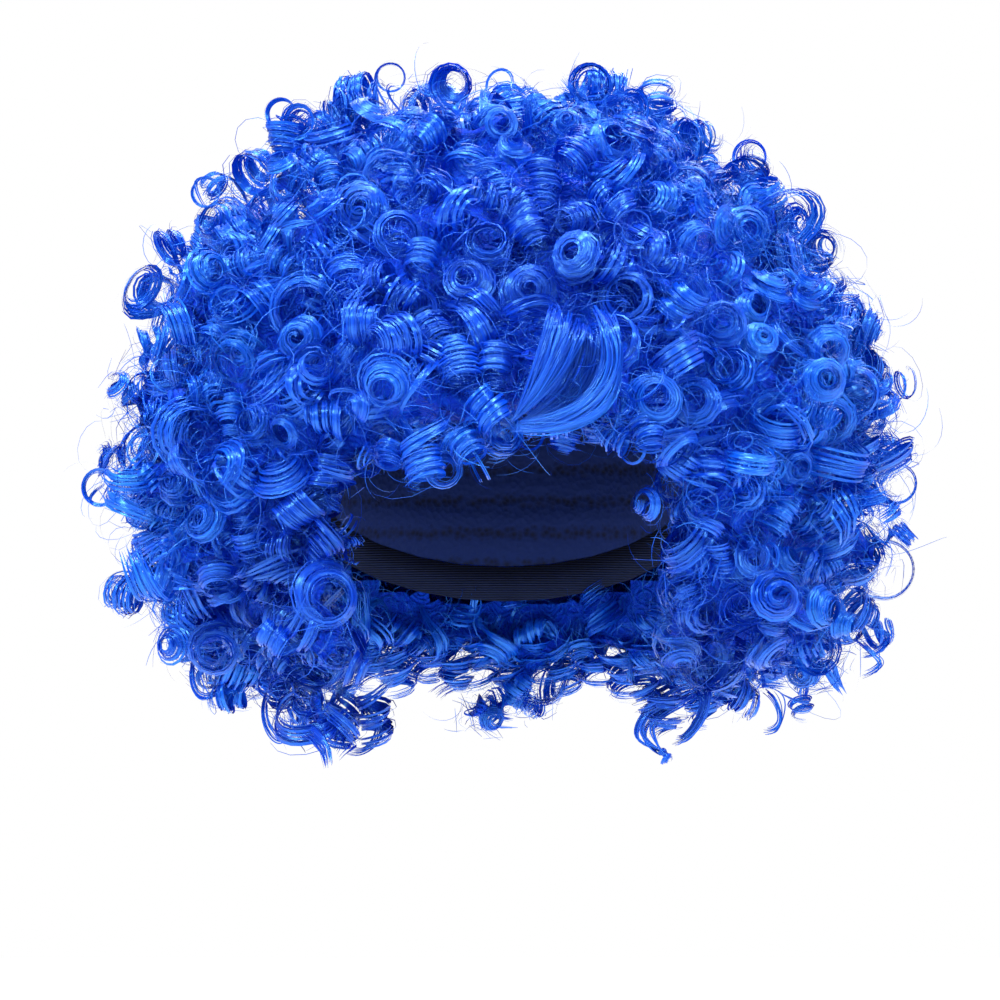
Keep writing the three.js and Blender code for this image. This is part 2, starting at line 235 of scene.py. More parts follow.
# Full ringlets that fill out the edge of the hair, in the plane of the outline or at their y
EDGE_RINGLETS = [
    dict(name="right_low", at=(656, 698), y=-58, axis=(0.1, 0.2, -1),
         radius=7, turns=2.6, length=20, bundle=6),
    dict(name="right_low_b", at=(700, 702), axis=(0.5, 0.1, -1), radius=7, turns=2.4, length=15, bundle=6),
    dict(name="right_low_c", at=(742, 698), axis=(0.9, 0.3, -0.5),
         radius=6.5, turns=2.4, length=14, bundle=6),
    dict(name="right_low_d", at=(641, 684), y=-60, axis=(0.3, 0.2, -1),
         radius=6, turns=2.4, length=14, bundle=5),
    dict(name="right_low_e", at=(860, 612), axis=(0.9, 0.3, -0.5), radius=8, turns=2.4, length=12, bundle=6),
    dict(name="left_low", at=(379, 709), y=-58, axis=(0.1, 0.2, -1),
         radius=7, turns=2.6, length=20, bundle=6),
    dict(name="left_low_b", at=(347, 709), y=-45, axis=(-0.5, 0.2, -1),
         radius=7, turns=2.4, length=15, bundle=6),
    dict(name="left_low_c", at=(306, 708), axis=(-0.9, 0.3, -0.5),
         radius=6.5, turns=2.4, length=14, bundle=6),
    dict(name="left_low_d", at=(228, 696), axis=(-0.9, 0.3, -0.3), radius=6, turns=2.2, length=12, bundle=5),
    dict(name="top_a", at=(452, 84), axis=(0.4, 0.9, 0.3), radius=7.5, turns=2.2, length=10, bundle=5),
    dict(name="top_b", at=(345, 108), axis=(1, 0.5, 0.2), radius=7, turns=2.2, length=12, bundle=5),
    dict(name="top_c", at=(300, 122), axis=(0.3, 1, 0.1), radius=7, turns=2.0, length=6, bundle=4),
    dict(name="top_d", at=(655, 104), axis=(0.1, 0.5, 1), radius=8, turns=2.4, length=16, bundle=6),
    dict(name="top_e", at=(700, 138), axis=(0.8, 0.6, 0.3), radius=7.5, turns=2.2, length=12, bundle=5),
    dict(name="top_f", at=(590, 84), axis=(0.2, 1, 0.2), radius=8.5, turns=1.8, length=5, bundle=4),
    dict(name="left_a", at=(256, 168), axis=(0.6, 0.6, 0.6), radius=7.5, turns=2.2, length=13, bundle=6),
    dict(name="left_b", at=(172, 246), axis=(0.8, 0.5, 0.4), radius=7, turns=2.2, length=12, bundle=5),
    dict(name="left_c", at=(158, 292), axis=(0.3, 0.9, 0.2), radius=7.5, turns=2.0, length=7, bundle=5),
    dict(name="left_d", at=(150, 345), axis=(0.9, 0.3, 0.3), radius=7, turns=2.2, length=12, bundle=5),
    dict(name="right_a", at=(752, 168), axis=(0.4, 0.6, 0.6), radius=7.5, turns=2.2, length=13, bundle=5),
    dict(name="right_b", at=(822, 248), axis=(0.6, 0.8, 0.2), radius=8, turns=2.2, length=10, bundle=6),
    dict(name="right_c", at=(872, 372), axis=(0.8, 0.5, -0.3), radius=7, turns=2.2, length=12, bundle=5),
]

# The row of full ringlets along the nape's lower edge: columns and rows in pixels, and y in mm, which
# comes forward by NAPE_CURVE at NAPE_REACH from the middle. Every other ringlet hangs lower.
NAPE_STEP = 30
NAPE_COLUMNS = range(330, 700, NAPE_STEP)
NAPE_ROW = 668
NAPE_DROP = 12
NAPE_BACK = 108
NAPE_CURVE = 40
NAPE_REACH = 190
EDGE_RINGLETS += [
    dict(name=f"nape_{column}", at=(column, NAPE_ROW + NAPE_DROP * (column // NAPE_STEP % 2)),
         y=NAPE_BACK - NAPE_CURVE * ((column - ORIGIN_COLUMN) / NAPE_REACH) ** 2,
         axis=(0.2, 0.3, -1), radius=8, turns=2.6, length=20, bundle=7)
    for column in NAPE_COLUMNS
]

# Locks that follow a curve: fibres fan between a left and a right edge, each given by four Bezier points
# as pixels of the photograph. Bulge is how far the middle of the lock rounds out, stand is how far it
# stands off the hair, and y is its depth where it hangs free, all in mm. Shade, from 0 to 1, is how
# light it is, and is painted light and shade: painted shadow in the sweep's hollow middle, painted light on
# its lit rim, and by default painted shade that holds the free locks darker.
LOCKS = [
    dict(name="sweep_left", left=[(546, 320), (542, 352), (530, 388), (512, 426)],
         right=[(580, 340), (570, 372), (550, 402), (517, 425)], ribbons=150, bulge=5, stand=6),
    dict(name="sweep_right", left=[(582, 322), (608, 370), (594, 414), (519, 430)],
         right=[(600, 328), (624, 382), (606, 442), (517, 437)], ribbons=150, bulge=3, stand=6),
    # Painted shadow: the sweep's hollow middle takes the darkest tone
    dict(name="sweep_middle", left=[(566, 334), (566, 372), (556, 400), (520, 427)],
         right=[(592, 340), (604, 378), (590, 416), (521, 431)], ribbons=90, bulge=-4, stand=1, shade=0),
    # Painted light: the sweep's lit rim takes the full range of tone
    dict(name="sweep_rim", left=[(603, 378), (600, 420), (566, 436), (518, 429)],
         right=[(610, 380), (608, 432), (564, 447), (519, 437)], ribbons=60, bulge=2, stand=8, shade=1),
    dict(name="corkscrew", left=[(686, 676), (624, 692), (616, 732), (656, 741)],
         right=[(697, 690), (644, 706), (634, 726), (661, 753)], ribbons=34, bulge=2, y=-58),
    dict(name="right_end", left=[(688, 676), (694, 706), (690, 722), (668, 730)],
         right=[(700, 674), (704, 708), (694, 728), (672, 736)], ribbons=20, bulge=2, y=-50),
    dict(name="side_end", left=[(756, 690), (792, 700), (782, 728), (762, 731)],
         right=[(762, 686), (799, 700), (786, 736), (761, 737)], ribbons=10, bulge=1, y=0),
    dict(name="side_tip", left=[(862, 620), (894, 630), (886, 652), (866, 650)],
         right=[(868, 616), (901, 630), (889, 660), (865, 656)], ribbons=10, bulge=1, y=0),
    dict(name="side_tip_low", left=[(850, 640), (886, 650), (880, 668), (862, 672)],
         right=[(856, 636), (892, 650), (884, 675), (861, 678)], ribbons=10, bulge=1, y=-5),
    dict(name="left_half_loop", left=[(192, 650), (184, 698), (212, 708), (222, 688)],
         right=[(198, 652), (192, 690), (212, 699), (217, 687)], ribbons=10, bulge=1, y=0),
    dict(name="left_oval", left=[(264, 690), (244, 742), (292, 762), (290, 722)],
         right=[(268, 692), (254, 734), (290, 750), (284, 720)], ribbons=8, bulge=1, y=0),
    dict(name="left_end", left=[(362, 696), (385, 711), (385, 740), (358, 736)],
         right=[(368, 692), (392, 711), (391, 749), (356, 742)], ribbons=16, bulge=2, y=-58),
    dict(name="left_end_b", left=[(320, 698), (288, 716), (300, 742), (328, 734)],
         right=[(326, 701), (296, 718), (304, 735), (328, 728)], ribbons=12, bulge=1, y=-25),
]
LOCK_RINGS = 20
SWEEP_MIDDLE = (560, 385)
SWEEP_REACH = 18 * MM
LOCK_WIDTHS = (0.25, 0.65)
# Painted shade: a lock without its own shade has its tone held to the lower half of the range, as it hangs
# free of the hair's shadow
LOCK_PAINTED_SHADE = 0.5

# How a lock runs from 0 to 1: where its fibres begin and end, its root, how many fibres wave as one
# strand and how far, how deep the root dives, and how far single fibres scatter in depth
LOCK_BEGINS = (0.0, 0.16)
LOCK_ENDS = (0.93, 1.02)
LOCK_ROOT = 0.2
LOCK_STRAND = 9
LOCK_WAVE = 1.1 * MM
LOCK_WAVES = (0.5, 1.3)
LOCK_DIVE = 15 * MM
LOCK_SCATTER = 1.1 * MM

# Short fibres that mat over everything, open loops of a few strands that stand off it, and long loose
# fibres. Spacing and lengths are in mm, and bend and roll are in radians.
FUZZ = dict(count=24000, spacing=0, rings=5, length=(7, 17), curve=(-7, 7), level=(-3, 9), slope=(-5, 5),
            width=(0.16, 0.36))
LOOPS = dict(count=300, spacing=4, strands=3, rings=19, radius=(3.0, 8.5), turns=(0.8, 1.7),
             narrowing=(0.0, 0.5), drift=(-6, 6), stand=(3, 8), roll=(0.4, 1.3), width=(0.3, 0.7))
FRIZZ = dict(count=1200, spacing=1, rings=11, size=(6, 15), bend=(2.2, 5.5), rise=(2, 11), run=(-12, 12),
             width=(0.14, 0.26))

# The fibre's streaks: how fast they change along a ribbon's metres and over its width, how far apart the
# streaks of two ribbons are drawn, and how streaks and locks make up the tone
STREAKS_ALONG = 45.0
STREAKS_ACROSS = 2.6
STREAK_SHIFT = 97.0
LOCK_TONE = 0.30
STREAK_TONE = 1.5
TONE_BASE = -0.40

BAKE_COLUMNS = 5
PIECE_TRIANGLES = 165000
HAIR_MIDDLE = np.array([0.0, 0.0, -0.092])


def px(column, row):
    """Where a pixel of the photograph lies at the hair's outline, as x and z."""
    return (column - ORIGIN_COLUMN) * PIXEL, (ORIGIN_ROW - row) * PIXEL


def unit(vectors):
    """An array of vectors at length 1."""
    return vectors / np.maximum(np.linalg.norm(vectors, axis=-1, keepdims=True), 1e-9)


# Camera, floor and light


def add_camera():
    """The camera, level with the middle of the photograph's frame."""
    x, z = px(PHOTO_PIXELS / 2, PHOTO_PIXELS / 2)
    data = bpy.data.cameras.new("camera")
    data.sensor_width = SENSOR
    data.lens = SENSOR * CAMERA_DISTANCE / (PHOTO_PIXELS * PIXEL)
    camera = bpy.data.objects.new("camera", data)
    camera.location = (x, -CAMERA_DISTANCE, z)
    camera.rotation_euler = (math.pi / 2, 0, 0)
    bpy.context.scene.collection.objects.link(camera)
    bpy.context.scene.camera = camera


def add_stage():
    """A pale floor well below the wig, which is held up."""
    corners = [(-1, -1), (1, -1), (1, 1), (-1, 1)]
    mesh = bpy.data.meshes.new("floor")
    mesh.from_pydata([(x * FLOOR_REACH, y * FLOOR_REACH, FLOOR_LEVEL) for x, y in corners], [], [range(4)])
    floor = bpy.data.objects.new("floor", mesh)
    bpy.context.scene.collection.objects.link(floor)
    material = bpy.data.materials.new("pale_paper")
    material.use_nodes = True
    shader = material.node_tree.nodes["Principled BSDF"]
    shader.inputs["Base Color"].default_value = (0.9, 0.9, 0.9, 1)
    shader.inputs["Roughness"].default_value = 0.9
    shader.inputs["Specular IOR Level"].default_value = 0.1
    mesh.materials.append(material)


def add_light(name, place, size, watts):
    """One square soft light that looks at the wig."""
    data = bpy.data.lights.new(name, "AREA")
    data.size = size
    data.energy = watts
    light = bpy.data.objects.new(name, data)
    light.location = place
    aim = Vector(LIGHT_AIM) - Vector(place)
    light.rotation_euler = aim.to_track_quat("-Z", "Y").to_euler()
    bpy.context.scene.collection.objects.link(light)


def add_lights():
    """The studio lights, and a white surround that lights the hair more weakly than it is seen."""
    for light in LIGHTS:
        add_light(**light)
    world = bpy.data.worlds.new("surround")
    world.use_nodes = True
    tree = world.node_tree
    sight = tree.nodes.new("ShaderNodeLightPath")
    strength = tree.nodes.new("ShaderNodeMath")
    strength.operation = "MAXIMUM"
    tree.links.new(sight.outputs["Is Camera Ray"], strength.inputs[0])
    strength.inputs[1].default_value = SURROUND_LIGHT
    tree.nodes["Background"].inputs["Color"].default_value = (1, 1, 1, 1)
    tree.links.new(strength.outputs[0], tree.nodes["Background"].inputs["Strength"])
    bpy.context.scene.world = world
    bpy.context.scene.view_settings.view_transform = "Standard"


# Materials


class Nodes:
    """A material's node tree, written as short calls."""

    def __init__(self, name):
        self.material = bpy.data.materials.new(name)
        self.material.use_nodes = True
        self.tree = self.material.node_tree
        self.shader = self.tree.nodes["Principled BSDF"]

    def feed(self, socket, value):
        """Links an output to a socket, or sets the socket's value."""
        if isinstance(value, bpy.types.NodeSocket):
            self.tree.links.new(value, socket)
        else:
            socket.default_value = value

    def add(self, kind, settings=None, **inputs):
        """A node with its settings, and its inputs as values or links."""
        node = self.tree.nodes.new(kind)
        for name, value in (settings or {}).items():
            setattr(node, name, value)
        for name, value in inputs.items():
            self.feed(node.inputs[name], value)
        return node

    def math(self, operation, *values):
        """The output of a math node."""
        node = self.add("ShaderNodeMath", {"operation": operation})
        for socket, value in zip(node.inputs, values):
            self.feed(socket, value)
        return node.outputs[0]

    def ramp(self, share, stops):
        """The output of a colour ramp with (place, colour) stops."""
        node = self.add("ShaderNodeValToRGB", Fac=share)
        elements = node.color_ramp.elements
        while len(elements) < len(stops):
            elements.new(0.5)
        for element, (place, colour) in zip(elements, stops):
            element.position = place
            element.color = (*colour, 1)
        return node.outputs["Color"]

    def noise(self, place, scale, detail=2.0, distortion=0.0):
        """The output of a noise texture."""
        inputs = {"Vector": place, "Scale": scale, "Detail": detail, "Distortion": distortion}
        return self.add("ShaderNodeTexNoise", None, **inputs).outputs[0]

    def bump(self, height, strength, distance):
        """Bumps the shader's normal by a height."""
        node = self.add("ShaderNodeBump", Height=height, Strength=strength, Distance=distance)
        self.feed(self.shader.inputs["Normal"], node.outputs[0])

    def finish(self, **values):
        """Sets the shader's plain values and gives the material."""
        for name, value in values.items():
            self.shader.inputs[name.replace("_", " ")].default_value = value
        return self.material


def hair_material():
    """Shiny blue fibre. Its fine streaks run along each ribbon, by the map called strand."""
    n = Nodes("blue_fibre")
    strand = n.add("ShaderNodeUVMap", {"uv_map": "strand"}).outputs[0]
    split = n.add("ShaderNodeSeparateXYZ", Vector=strand)
    lock = n.add("ShaderNodeAttribute", {"attribute_name": "lock"})
    random = n.add("ShaderNodeSeparateXYZ", Vector=lock.outputs["Vector"])
    place = n.add(
        "ShaderNodeCombineXYZ",
        X=n.math("MULTIPLY", split.outputs["X"], STREAKS_ALONG),
        Y=n.math("MULTIPLY", split.outputs["Y"], STREAKS_ACROSS),
        Z=n.math("MULTIPLY", random.outputs["Y"], STREAK_SHIFT),
    ).outputs[0]
    streak = n.noise(place, 1.0, detail=3.0)
    streak_tone = n.math("MULTIPLY_ADD", streak, STREAK_TONE, TONE_BASE)
    # The tone follows the lock's first number, which carries painted shade as well as random tone, so the
    # colour is darker where shade is painted
    tone = n.math("MULTIPLY_ADD", random.outputs["X"], LOCK_TONE, streak_tone)
    colour = n.ramp(tone, [
        (0.00, (0.0008, 0.020, 0.42)),
        (0.20, (0.0014, 0.038, 0.60)),
        (0.50, (0.0020, 0.068, 0.66)),
        (0.85, (0.0070, 0.165, 0.76)),
    ])
    n.feed(n.shader.inputs["Base Color"], colour)
    n.bump(streak, 0.6, 0.6 * MM)
    tangent = n.add("ShaderNodeTangent", {"direction_type": "UV_MAP", "uv_map": "strand"})
    n.feed(n.shader.inputs["Tangent"], tangent.outputs[0])
    return n.finish(
        Anisotropic=0.8,
        Anisotropic_Rotation=0.25,
        Roughness=0.27,
        Specular_IOR_Level=1.0,
        Specular_Tint=(0.15, 0.55, 1.0, 1),
        IOR=1.75,
        Sheen_Weight=0.08,
        Sheen_Roughness=0.4,
        Sheen_Tint=(0.1, 0.4, 1.0, 1),
    )


def mat_material():
    """The matted hair that shows between the ringlets: rings of fibre round scattered middles."""
    n = Nodes("matted_fibre")
    place = n.add("ShaderNodeTexCoord").outputs["Object"]
    shaken = n.add("ShaderNodeVectorMath", {"operation": "MULTIPLY_ADD"})
    shake = n.add("ShaderNodeTexNoise", Vector=place, Scale=90.0, Detail=3.0)
    n.feed(shaken.inputs[0], shake.outputs["Color"])
    shaken.inputs[1].default_value = (0.008, 0.008, 0.008)
    n.feed(shaken.inputs[2], place)
    cells = n.add("ShaderNodeTexVoronoi", Vector=shaken.outputs[0], Scale=75.0)
    rings = n.math("SINE", n.math("MULTIPLY", cells.outputs["Distance"], 42.0))
    fibres = n.noise(place, 700.0, detail=3.0, distortion=1.5)
    height = n.math("ADD", n.math("MULTIPLY", rings, 0.25), fibres)
    height = n.math("SUBTRACT", height, n.math("MULTIPLY", cells.outputs["Distance"], 0.5))
    n.feed(n.shader.inputs["Base Color"], n.ramp(height, [
        (0.10, (0.0018, 0.040, 0.68)),
        (0.60, (0.0035, 0.085, 0.80)),
    ]))
    n.bump(height, 1.0, 1.5 * MM)
    return n.finish(Roughness=0.5, Specular_IOR_Level=0.3, Specular_Tint=(0.3, 0.6, 1.0, 1))


def cap_material():
    """Stretch net, with the sewn tracks of the rows of hair running round it."""
    n = Nodes("stretch_net")
    place = n.add("ShaderNodeTexCoord").outputs["Object"]
    net = n.add("ShaderNodeTexVoronoi", Vector=place, Scale=420.0).outputs["Distance"]
    tracks = n.add("ShaderNodeTexWave", {"bands_direction": "Z"}, Vector=place, Scale=24.0, Distortion=0.3)
    height = n.math("ADD", net, n.math("MULTIPLY", tracks.outputs[0], 1.2))
    n.feed(n.shader.inputs["Base Color"], n.ramp(height, [
        (0.2, (0.0010, 0.004, 0.024)),
        (1.0, (0.0030, 0.014, 0.090)),
    ]))
    n.bump(height, 0.6, 0.8 * MM)
    return n.finish(Roughness=0.85, Specular_IOR_Level=0.2)


def elastic_material():
    """Woven elastic with cords running along it."""
    n = Nodes("woven_elastic")
    place = n.add("ShaderNodeTexCoord").outputs["Object"]
    cords = n.add("ShaderNodeTexWave", {"bands_direction": "Z"}, Vector=place, Scale=320.0).outputs[0]
    height = n.math("ADD", cords, n.math("MULTIPLY", n.noise(place, 900.0), 0.5))
    n.feed(n.shader.inputs["Base Color"], n.ramp(height, [
        (0.2, (0.0015, 0.003, 0.012)),
        (1.0, (0.0060, 0.015, 0.060)),
    ]))
    n.bump(height, 0.7, 0.6 * MM)
    return n.finish(Roughness=0.8, Specular_IOR_Level=0.2)


# Skins: smooth closed surfaces round the CAD nodes


def welded(nodes):
    """One mesh of CAD nodes, with their shared vertices joined."""
    shape = bmesh.new()
    for node in nodes:
        shape.from_mesh(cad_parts[node].data)
    bmesh.ops.remove_doubles(shape, verts=shape.verts, dist=WELD)
    mesh = bpy.data.meshes.new(nodes[0] + "_welded")
    shape.to_mesh(mesh)
    shape.free()
    return mesh


def skin_round(nodes):
    """A smoothed voxel skin round CAD nodes: its points, their normals, its faces and the home of each."""
    skin = bpy.data.objects.new("skin", welded(nodes))
    bpy.context.scene.collection.objects.link(skin)
    remesh = skin.modifiers.new("remesh", "REMESH")
    remesh.mode = "VOXEL"
    remesh.voxel_size = SKIN_VOXEL
    smooth = skin.modifiers.new("smooth", "SMOOTH")
    smooth.iterations = SKIN_SMOOTHING
    smooth.factor = 0.5
    made = skin.evaluated_get(bpy.context.evaluated_depsgraph_get()).to_mesh()
    points = np.empty((len(made.vertices), 3))
    made.vertices.foreach_get("co", points.reshape(-1))
    normals = np.empty_like(points)
    made.vertices.foreach_get("normal", normals.reshape(-1))
    faces = np.array([face.vertices[:] for face in made.polygons if len(face.vertices) == 4])
    bpy.data.objects.remove(skin)
    return points, normals, faces, homes(points[faces].mean(axis=1))


def grow(skin, tries, spacing):
    """Places spread over a skin, no two nearer than the spacing, with the skin's normals and homes there."""
    points, normals, faces, home = skin
    corners = points[faces]
    crossed = np.cross(corners[:, 2] - corners[:, 0], corners[:, 3] - corners[:, 1])
    areas = np.linalg.norm(crossed, axis=1)
    chosen = RNG.choice(len(faces), tries, p=areas / areas.sum())
    u, v = RNG.random((2, tries, 1))
    low = corners[chosen, 0] * (1 - u) + corners[chosen, 1] * u
    high = corners[chosen, 3] * (1 - u) + corners[chosen, 2] * u
    places = low * (1 - v) + high * v
    outward = unit(normals[faces[chosen]].mean(axis=1))
    kept = []
    for i, place in enumerate(places):
        if not kept or np.min(((places[kept] - place) ** 2).sum(axis=1)) > spacing**2:
            kept.append(i)
    return places[kept], outward[kept], home[chosen][kept]


def homes(places):
    """The CAD node that each place is nearest to."""
    names = HAIR_NODES + CLOTH_NODES
    graph = bpy.context.evaluated_depsgraph_get()
    trees = [BVHTree.FromObject(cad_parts[name], graph) for name in names]
    gaps = [[tree.find_nearest(Vector(place))[3] for tree in trees] for place in places]
    return np.array(names)[np.argmin(gaps, axis=1)]


def faces_inward(places, outward):
    """True where the skin looks towards the wig's axis, as it does round the opening and under the cap."""
    radial = unit(places * [1, 1, 0])
    return (radial * outward).sum(axis=1) < INWARD_TURN


def nearness(places, spot):
    """How near places are to a spot of a table: 1 well within its reach, and 0 out of it."""
    x, z = px(*spot["at"])
    middle = [x, spot.get("y", 0) * MM, z]
    away = np.linalg.norm(places - middle, axis=1) / (spot["reach"] * MM)
    return np.clip(REACH_END - away, 0, 1)


def sinking(places):
    """How far the hollows draw hair in at each place, as a negative lift."""
    return -sum(hollow["depth"] * MM * nearness(places, hollow) for hollow in HOLLOWS)


def painted_shade(places):
    """How much painted shade darkens the hair at each place."""
    return sum(spot["by"] * nearness(places, spot) for spot in PAINTED_SHADE_PLACES)


def settled(places, outward):
    """Places drawn in where they face inward or down, or lie by a hollow of the outline."""
    turned = np.where(outward[:, 2] < UNDER_TURN, UNDER_LIFT, 0)
    lift = np.where(faces_inward(places, outward), INWARD_LIFT, turned) + sinking(places)
    return places + lift[:, None] * outward


def tangents(outward):
    """Two directions along the skin for each place: a random one, and the one square to it."""
    seed = RNG.normal(size=outward.shape)
    first = unit(seed - outward * (seed * outward).sum(axis=1, keepdims=True))
    return first, np.cross(outward, first)


def uniform(low_high, shape):
    """Random numbers between two ends."""
    return RNG.uniform(low_high[0], low_high[1], shape)


# Ribbons of hair. A batch holds arrays for many ribbons of one length: centres and across are indexed by
# ribbon, ring and axis, widths by ribbon and ring, and lock holds three random numbers for each ribbon, the
# first of which also takes the painted shade that darkens the ribbon's tone.


def batch(centres, across, widths, lock):
    """Ribbons of hair as one batch, with leading indices flattened."""
    rings = centres.shape[-2]
    across = np.broadcast_to(across, centres.shape)
    widths = np.broadcast_to(widths, centres.shape[:-1])
    return dict(
        centres=centres.reshape(-1, rings, 3),
        across=across.reshape(-1, rings, 3),
        widths=widths.reshape(-1, rings),
        lock=lock.reshape(-1, 3),
    )


def coils(places, outward, axis, form, ribbons, rings):
    """Ringlets as a batch for each sort of ribbon. The form holds an array of each size, in metres."""
    count = len(places)
    one = unit(np.cross(axis, outward + 0.01))
    two = np.cross(axis, one)

    def wide(values):
        """A ringlet's vectors or numbers, ready to meet its ribbons and rings."""
        return values[:, None, None] if values.ndim == 1 else values[:, None, None, :]

    sizes = {name: wide(values) for name, values in form.items()}
    spin = wide(RNG.choice([-1.0, 1.0], count))
    start = wide(uniform((0, TAU), count))
    bend_one, bend_two = [wide(RNG.uniform(-BOW, BOW, count)) * sizes["length"] for _ in range(2)]
    phase = wide(uniform((0, TAU), count))
    shade = RNG.random(count)

    batches = []
    for ribbon in ribbons:
        t = np.linspace(0, 1, round(rings * ribbon["detail"]))[None, None, :]
        swell = 1 + SWELL * np.sin(TAU * SWELL_WAVES * t + phase)
        gather = np.minimum(1, ROOT_GATHER + 2 * t) * (1 - TIP_GATHER * t**3)
        bow = 4 * (t - 0.5) ** 2 - 0.33
        dive = ROOT_DIVE * np.clip(1 - t / ROOT, 0, 1) ** 2
        ends = np.minimum(1, np.minimum(t / ROOT_TAPER, (1 - t) / TIP_TAPER) * 0.9 + 0.1)
        shape = (count, ribbon["count"], 1)
        thin = np.minimum(1, sizes["bundle"] / FULL_BUNDLE)
        stray = ribbon["stray"] * MM * (0.3 + 0.7 * thin)
        share = np.linspace(-0.5, 0.5, ribbon["count"])[None, :, None] + RNG.uniform(-0.1, 0.1, shape)
        slip = RNG.normal(0, 0.05, shape) + RNG.normal(0, 90, shape) * stray * t
        angle = start + spin * (TAU * sizes["turns"] * t + slip)
        wander = stray * np.sin(TAU * uniform((0.7, 1.8), shape) * t + uniform((0, TAU), shape))
        reach = sizes["radius"] * (1 - sizes["narrowing"] * t) * swell
        reach = reach + wander - uniform(ribbon["depth"], shape) * MM * thin
        radial = np.cos(angle)[..., None] * wide(one) + np.sin(angle)[..., None] * wide(two)
        tilt = sizes["tilt"][..., None]
        spread = np.cos(tilt) * wide(axis) + np.sin(tilt) * radial
        along = sizes["length"] * (t - 0.45) + RNG.normal(0, 1, shape) * stray
        opening = np.clip((t - FLARE_FROM) / (1 - FLARE_FROM), 0, 1) ** 2
        flare = opening * RNG.normal(0, 1, shape) * (FLARE + stray)
        centres = (
            wide(places)
            + along[..., None] * wide(axis)
            + (reach + flare)[..., None] * radial
            + (share * sizes["bundle"] * gather)[..., None] * spread
            + (bow * bend_one)[..., None] * wide(one)
            + (bow * bend_two)[..., None] * wide(two)
            - dive[..., None] * wide(outward)
        )
        roll = RNG.normal(0, ROLL, shape)[..., None]
        across = spin[..., None] * (np.cos(roll) * spread + np.sin(roll) * radial)
        lock = RNG.random((count, ribbon["count"], 3))
        lock[:, :, 0] = RINGLET_SHADE * shade[:, None] + (1 - RINGLET_SHADE) * lock[:, :, 0]
        widths = uniform(ribbon["width"], shape) * MM * ends * np.sqrt(thin)
        batches.append(batch(centres, across, widths, lock))
    return batches


def spread_coils(places, outward, kind, ribbons):
    """Ringlets of one kind, each with its own random form."""
    count = len(places)
    along_skin, _ = tangents(outward)
    lean = uniform(kind["lean"], (count, 1))
    axis = unit(np.cos(lean) * outward + np.sin(lean) * along_skin)
    form = {name: uniform(kind[name], count) * MM for name in ("radius", "length", "bundle")}
    form |= {name: uniform(kind[name], count) for name in ("turns", "narrowing", "tilt")}
    rise = uniform(kind["lift"], count) * MM
    return coils(places + outward * rise[:, None], outward, axis, form, ribbons, kind["rings"])


def placed_coils(rows, place_of, ribbons):
    """The ringlets of a table, with the place and the outward direction that place_of gives a row."""
    made = []
    for row in rows:
        place, outward = place_of(row)
        axis = unit(np.array([row["axis"]], float))
        form = {name: np.array([row[name] * MM]) for name in ("radius", "length", "bundle")}
        form["turns"] = np.array([row["turns"]])
        form["narrowing"] = np.array([row.get("narrowing", PLACED_NARROWING)])
        form["tilt"] = np.array([row.get("tilt", PLACED_TILT)])
        made.append((place, coils(place[None], outward[None], axis, form, ribbons, PLACED_RINGS)))
    return made


def on_front(tree, column, row):
    """Where a pixel's line of sight meets the skin, and the skin's direction there."""
    x, z = px(column, row)
    place, normal, _, _ = tree.ray_cast(Vector((x, -CAMERA_DISTANCE, z)), Vector((0, 1, 0)))
    return np.array(place), np.array(normal)


def on_outline(row):
    """A row's place in the plane of the outline, and the direction away from the hair's middle."""
    x, z = px(*row["at"])
    place = np.array([x, row.get("y", 0) * MM, z])
    return place, unit(place - HAIR_MIDDLE)


def curved_lock(row, tree):
    """A lock of a table, as fibres that fan between its edges and draw together at its tip."""
    count = row["ribbons"]
    share = np.linspace(0, 1, count)[:, None, None] + RNG.normal(0, 0.03, (count, 1, 1))
    begin = uniform(LOCK_BEGINS, share.shape)
    end = uniform(LOCK_ENDS, share.shape)
    t = begin + (end - begin) * np.linspace(0, 1, LOCK_RINGS)[None, :, None]
    edges = [np.array([px(*point) for point in row[side]]) for side in ("left", "right")]
    one, two, three, four = [(1 - share) * edges[0][i] + share * edges[1][i] for i in range(4)]
    flat = (1 - t) ** 3 * one + 3 * (1 - t) ** 2 * t * two + 3 * (1 - t) * t**2 * three + t**3 * four
    strand = np.floor(np.arange(count) / LOCK_STRAND).astype(int)
    waves = uniform(LOCK_WAVES, (count, 1, 1))[strand]
    phase = uniform((0, TAU), (count, 1, 1))[strand]
    flat = flat + LOCK_WAVE * np.sin(TAU * waves * t + phase + RNG.normal(0, 0.3, share.shape))
    middle = np.mean(row["left"] + row["right"], axis=0)
    front = row["y"] * MM if "y" in row else on_front(tree, *middle)[0][1] - row["stand"] * MM
    rounding = np.sin(math.pi * np.clip(share, 0, 1)) * np.sin(math.pi * np.clip(t * 1.1, 0, 1))
    dive = LOCK_DIVE * np.clip(1 - t / LOCK_ROOT, 0, 1) ** 2
    scatter = RNG.normal(0, LOCK_SCATTER, (count, 1, 1))
    depth = front - row["bulge"] * MM * rounding + dive + scatter
    centres = np.concatenate([flat[..., :1], depth, flat[..., 1:]], axis=-1)
    along = unit(np.gradient(centres, axis=1))
    across = np.cross(along, [0, -1, 0]) + RNG.normal(0, ROLL, (count, 1, 3))
    widths = uniform(LOCK_WIDTHS, (count, 1)) * MM * np.clip((1 - t[..., 0]) * 3 + 0.25, 0.1, 1)
    # Painted light and shade: the row's shade scales the tone of the lock's fibres
    lock = RNG.random((count, 3)) * [row.get("shade", LOCK_PAINTED_SHADE), 1, 1]
    return batch(centres, across, widths, lock)


